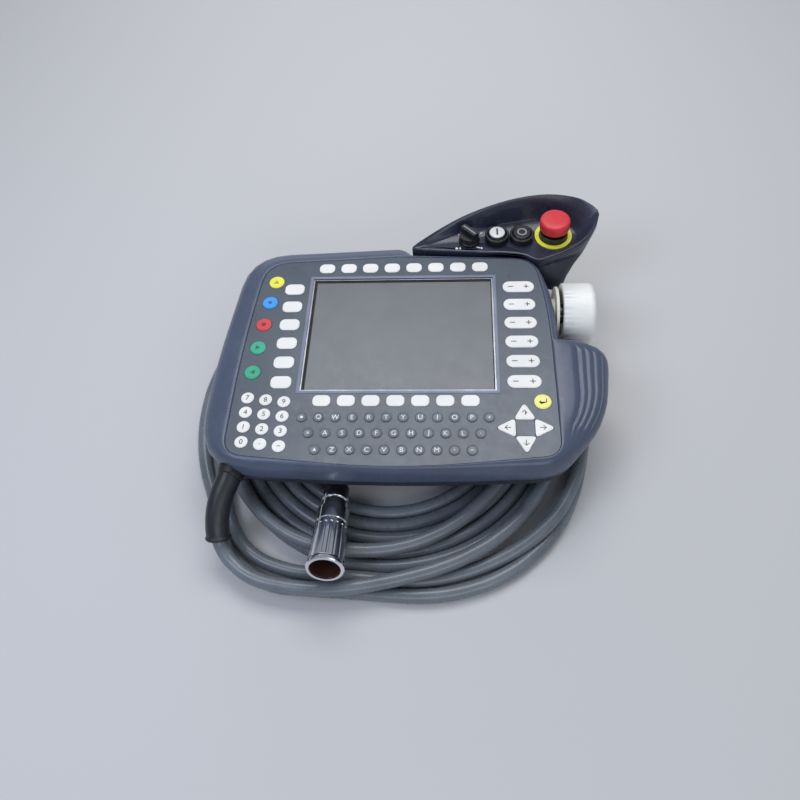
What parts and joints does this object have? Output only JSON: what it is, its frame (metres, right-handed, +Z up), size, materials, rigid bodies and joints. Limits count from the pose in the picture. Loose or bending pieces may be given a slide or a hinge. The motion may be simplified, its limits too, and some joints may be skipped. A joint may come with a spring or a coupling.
{
  "type": "teach pendant",
  "caption": "Hand-held robot teach pendant with display, keypad, switch pod with emergency stop, six-way hand controller and coiled cable with a round connector.",
  "frame": {"origin": "on the resting plane, straight below the middle of the display; the pendant lies on the raised middle of its back", "axes": "+X to the right of the display, +Y towards its upper edge and the switch pod, +Z up out of the keypad face"},
  "size_m": [0.3744, 0.374, 0.1081],
  "materials": {
    "frame": "fine moulded texture, satin",
    "seal": "matt",
    "shell": "fine moulded texture, matt",
    "brass_parts": "turned",
    "screws": "zinc plated",
    "sheet_metal": "plain sheet",
    "foil": "printed polyester foil, satin",
    "board": "coated circuit board",
    "window": "clear hard coat over the grey of a dark display",
    "display": "dark, unlit",
    "white_key": "printed foil, satin",
    "letter_key": "printed foil, satin",
    "yellow_key": "printed foil, satin",
    "blue_key": "printed foil, satin",
    "red_key": "printed foil, satin",
    "green_key": "printed foil, satin",
    "enter_key": "printed foil, satin",
    "pod": "fine moulded texture, satin",
    "black_plastic": "moulded, slight gloss",
    "lens": "translucent, polished",
    "ring_yellow": "printed label ring",
    "estop_red": "moulded, polished",
    "cream": "moulded, satin",
    "controller_white": "fine moulded texture, satin",
    "steel_parts": "turned",
    "switch_white": "moulded, satin",
    "boot": "matt",
    "cable": "smooth jacket, satin",
    "connector_metal": "nickel plated, satin",
    "insert": "moulded, matt"
  },
  "bodies": {
    "pendant": {"front_frame": "frame", "housing_seal": "seal", "rear_shell": "shell", "housing_spacers": "brass_parts", "housing_screws": "screws", "keypad_plate": "sheet_metal", "keypad_foil": "foil", "keypad_board": "board", "display_window": "window", "display_module": "display", "display_bracket": "sheet_metal", "main_board": "board", "board_posts": "brass_parts", "menu_keys": "white_key", "status_keys": "white_key", "rocker_keys": "white_key", "softkeys": "white_key", "letter_keys": "letter_key", "number_keys": "white_key", "pod_cover": "pod", "pod_base": "shell", "switch_blocks": "black_plastic", "switch_collars": "black_plastic", "estop_ring": "ring_yellow", "estop_collar": "black_plastic", "controller_flange": "cream", "enable_frames": "black_plastic", "cable_gland": "black_plastic", "cable_boot": "boot", "cable_lead": "cable", "cable_coil": "cable", "cable_tail": "cable", "connector_backshell": "boot", "connector_body": "connector_metal", "connector_insert": "insert"},
    "yellow_key": {"yellow_key": "yellow_key"},
    "blue_key": {"blue_key": "blue_key"},
    "red_key": {"red_key": "red_key"},
    "upper_green_key": {"upper_green_key": "green_key"},
    "lower_green_key": {"lower_green_key": "green_key"},
    "enter_key": {"enter_key": "enter_key"},
    "cursor_up_key": {"cursor_up_key": "white_key"},
    "cursor_down_key": {"cursor_down_key": "white_key"},
    "cursor_left_key": {"cursor_left_key": "white_key"},
    "cursor_right_key": {"cursor_right_key": "white_key"},
    "drives_on_button": {"drives_on_button": "black_plastic", "drives_on_lens": "lens"},
    "drives_off_button": {"drives_off_button": "black_plastic"},
    "enable_switch_left": {"enable_switch_left": "switch_white"},
    "enable_switch_right": {"enable_switch_right": "switch_white"},
    "enable_switch_back": {"enable_switch_back": "switch_white"},
    "start_key": {"start_key": "green_key"},
    "mode_knob": {"mode_knob": "black_plastic"},
    "estop_stem": {"estop_stem": "black_plastic"},
    "estop_cap": {"estop_cap": "estop_red"},
    "controller_plunger": {"controller_plunger": "steel_parts"},
    "controller_gimbal": {"controller_gimbal": "steel_parts"},
    "controller_carrier": {"controller_carrier": "sheet_metal"},
    "controller_cap": {"controller_cap": "controller_white"},
    "coupling_sleeve": {"coupling_sleeve": "connector_metal"}
  },
  "joints": [
    {"name": "yellow_key_press", "type": "slide", "parent": "pendant", "child": "yellow_key", "axis": [0, 0, -1], "range_m": [0, 0.0005], "stiffness_N_per_m": 1500, "springref_m": -0.0003},
    {"name": "blue_key_press", "type": "slide", "parent": "pendant", "child": "blue_key", "axis": [0, 0, -1], "range_m": [0, 0.0005], "stiffness_N_per_m": 1500, "springref_m": -0.0003},
    {"name": "red_key_press", "type": "slide", "parent": "pendant", "child": "red_key", "axis": [0, 0, -1], "range_m": [0, 0.0005], "stiffness_N_per_m": 1500, "springref_m": -0.0003},
    {"name": "upper_green_key_press", "type": "slide", "parent": "pendant", "child": "upper_green_key", "axis": [0, 0, -1], "range_m": [0, 0.0005], "stiffness_N_per_m": 1500, "springref_m": -0.0003},
    {"name": "lower_green_key_press", "type": "slide", "parent": "pendant", "child": "lower_green_key", "axis": [0, 0, -1], "range_m": [0, 0.0005], "stiffness_N_per_m": 1500, "springref_m": -0.0003},
    {"name": "enter_key_press", "type": "slide", "parent": "pendant", "child": "enter_key", "axis": [0, 0, -1], "range_m": [0, 0.0005], "stiffness_N_per_m": 1500, "springref_m": -0.0003},
    {"name": "cursor_up_key_press", "type": "slide", "parent": "pendant", "child": "cursor_up_key", "axis": [0, 0, -1], "range_m": [0, 0.0005], "stiffness_N_per_m": 1500, "springref_m": -0.0003},
    {"name": "cursor_down_key_press", "type": "slide", "parent": "pendant", "child": "cursor_down_key", "axis": [0, 0, -1], "range_m": [0, 0.0005], "stiffness_N_per_m": 1500, "springref_m": -0.0003},
    {"name": "cursor_left_key_press", "type": "slide", "parent": "pendant", "child": "cursor_left_key", "axis": [0, 0, -1], "range_m": [0, 0.0005], "stiffness_N_per_m": 1500, "springref_m": -0.0003},
    {"name": "cursor_right_key_press", "type": "slide", "parent": "pendant", "child": "cursor_right_key", "axis": [0, 0, -1], "range_m": [0, 0.0005], "stiffness_N_per_m": 1500, "springref_m": -0.0003},
    {"name": "drives_on_button_press", "type": "slide", "parent": "pendant", "child": "drives_on_button", "axis": [0, 0, -1], "range_m": [0, 0.0025], "stiffness_N_per_m": 900, "springref_m": -0.001},
    {"name": "drives_off_button_press", "type": "slide", "parent": "pendant", "child": "drives_off_button", "axis": [0, 0, -1], "range_m": [0, 0.0025], "stiffness_N_per_m": 900, "springref_m": -0.001},
    {"name": "enable_switch_left_press", "type": "slide", "parent": "pendant", "child": "enable_switch_left", "axis": [0, 0, 1], "range_m": [0, 0.003], "stiffness_N_per_m": 1500, "springref_m": -0.001},
    {"name": "enable_switch_right_press", "type": "slide", "parent": "pendant", "child": "enable_switch_right", "axis": [0, 0, 1], "range_m": [0, 0.003], "stiffness_N_per_m": 1500, "springref_m": -0.001},
    {"name": "enable_switch_back_press", "type": "slide", "parent": "pendant", "child": "enable_switch_back", "axis": [0, 0, 1], "range_m": [0, 0.003], "stiffness_N_per_m": 1500, "springref_m": -0.001},
    {"name": "start_key_press", "type": "slide", "parent": "pendant", "child": "start_key", "axis": [0, 0, 1], "range_m": [0, 0.0015], "stiffness_N_per_m": 900, "springref_m": -0.0008},
    {"name": "mode_knob_turn", "type": "hinge", "parent": "pendant", "child": "mode_knob", "pos_m": [0.062, 0.1065, 0.09], "axis": [0, 0, 1], "range_deg": [-180, 90]},
    {"name": "estop_press", "type": "slide", "parent": "pendant", "child": "estop_stem", "axis": [0, 0, -1], "range_m": [0, 0.0035]},
    {"name": "estop_twist", "type": "hinge", "parent": "estop_stem", "child": "estop_cap", "pos_m": [0.1409, 0.1109, 0.097], "axis": [0, 0, 1], "range_deg": [0, 45], "stiffness_Nm_per_rad": 0.05, "springref_deg": -5.73},
    {"name": "controller_slide", "type": "slide", "parent": "pendant", "child": "controller_plunger", "axis": [1, 0, 0], "range_m": [-0.001, 0.001], "stiffness_N_per_m": 3000},
    {"name": "controller_pitch", "type": "hinge", "parent": "controller_plunger", "child": "controller_gimbal", "pos_m": [0.158, 0.039, 0.055], "axis": [0, 1, 0], "range_deg": [-3, 3], "stiffness_Nm_per_rad": 3},
    {"name": "controller_yaw", "type": "hinge", "parent": "controller_gimbal", "child": "controller_carrier", "pos_m": [0.158, 0.039, 0.055], "axis": [0, 0, 1], "range_deg": [-3, 3], "stiffness_Nm_per_rad": 3},
    {"name": "controller_twist", "type": "hinge", "parent": "controller_carrier", "child": "controller_cap", "pos_m": [0.158, 0.039, 0.055], "axis": [1, 0, 0], "range_deg": [-5, 5], "stiffness_Nm_per_rad": 1},
    {"name": "coupling_sleeve_turn", "type": "hinge", "parent": "pendant", "child": "coupling_sleeve", "pos_m": [-0.0518, -0.16841, 0.03862], "axis": [0, -0.9636, 0.2672], "continuous": true}
  ]
}
